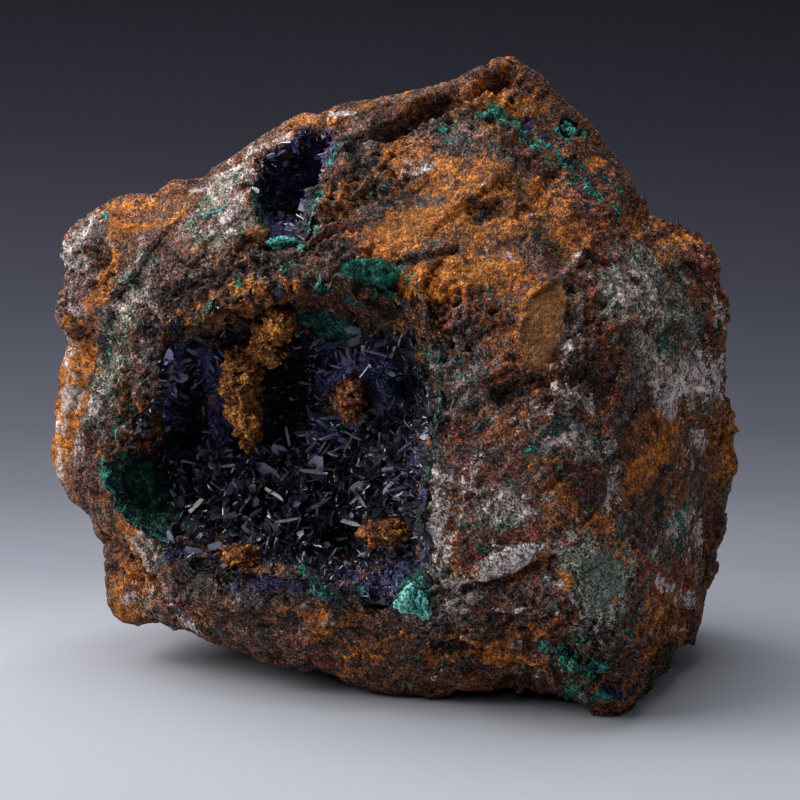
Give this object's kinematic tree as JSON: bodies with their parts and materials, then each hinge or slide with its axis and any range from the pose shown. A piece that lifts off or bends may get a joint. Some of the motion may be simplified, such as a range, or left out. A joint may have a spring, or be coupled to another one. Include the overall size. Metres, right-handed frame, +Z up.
{
  "type": "azurite with malachite",
  "caption": "Cabinet mineral specimen: a rusty limonite rock with a large vug lined with dark azurite blades and green malachite, standing on its own flat feet.",
  "frame": {"origin": "middle of the bounding box's base, on the surface that the rock stands on", "axes": "+X to the right and +Y away from a viewer who faces the vugs, +Z up"},
  "size_m": [0.1981, 0.1368, 0.1706],
  "materials": {
    "limonite_rock": "rough broken rock, rust brown with ochre, maroon, grey and pale clay streaks",
    "azurite": "glassy blue-black tabular crystals with violet-blue crust at their feet",
    "malachite_velvet": "deep green velvet of fine needles",
    "malachite_crust": "bright turquoise green crust, dull",
    "ochre_limonite": "earthy knobbly ochre, dull"
  },
  "bodies": {
    "root": {"host_rock": "limonite_rock", "azurite_main_druse": "azurite", "azurite_upper_druse": "azurite", "malachite_left_velvet": "malachite_velvet", "malachite_rim_crust": "malachite_crust", "malachite_roof_tuft": "malachite_velvet", "malachite_upper_lining": "malachite_crust", "malachite_upper_patch": "malachite_crust", "limonite_column": "ochre_limonite", "limonite_mound": "ochre_limonite", "limonite_ledge_knob": "ochre_limonite", "limonite_sill_knob": "ochre_limonite"}
  },
  "joints": []
}
